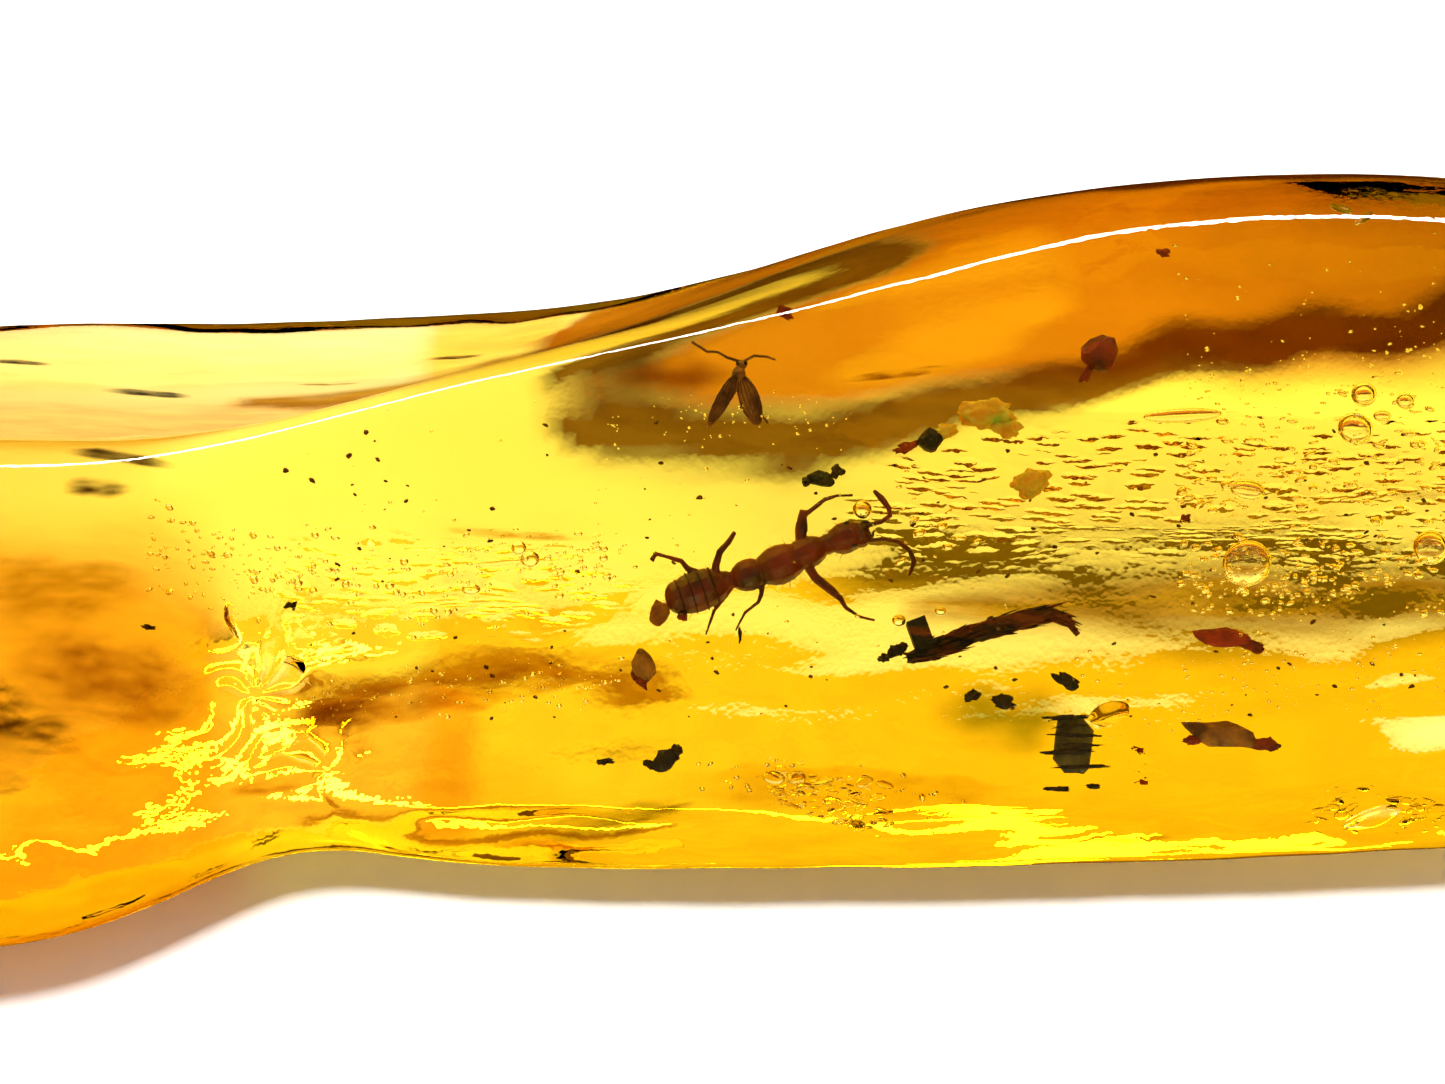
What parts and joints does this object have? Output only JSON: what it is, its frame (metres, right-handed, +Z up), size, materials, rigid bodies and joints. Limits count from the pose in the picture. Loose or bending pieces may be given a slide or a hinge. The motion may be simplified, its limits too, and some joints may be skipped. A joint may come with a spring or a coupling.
{
  "type": "copal nugget with insects",
  "caption": "Polished yellow copal nugget, clear to its core, with an ant, a gnat and bark scraps sealed in it; a loose fossil resin specimen that rests on its flat side.",
  "frame": {"origin": "under the middle of the nugget's box, on the surface that its flat underside rests on", "axes": "+X along the nugget from the round bulb to the thick end, +Y to the back with the low ledge, +Z up"},
  "size_m": [0.0472, 0.0176, 0.0092],
  "materials": {
    "copal": "polished clear yellow resin",
    "ant_chitin": "dark red-brown insect shell",
    "gnat_chitin": "brown insect shell with thin wings",
    "bark": "dark rough bark",
    "plant_scrap": "brown plant scraps",
    "dark_grain": "black and dark red grains"
  },
  "bodies": {
    "root": {"copal_upper": "copal", "copal_lower": "copal", "ant": "ant_chitin", "gnat": "gnat_chitin", "bark_splinter": "bark", "brown_flake": "plant_scrap", "black_speck": "dark_grain", "black_grain": "dark_grain", "dark_red_grain": "dark_grain", "red_chip": "plant_scrap", "brown_chip": "plant_scrap", "leaf_scrap": "plant_scrap", "twig_stub": "plant_scrap", "black_flake": "dark_grain"}
  },
  "joints": []
}
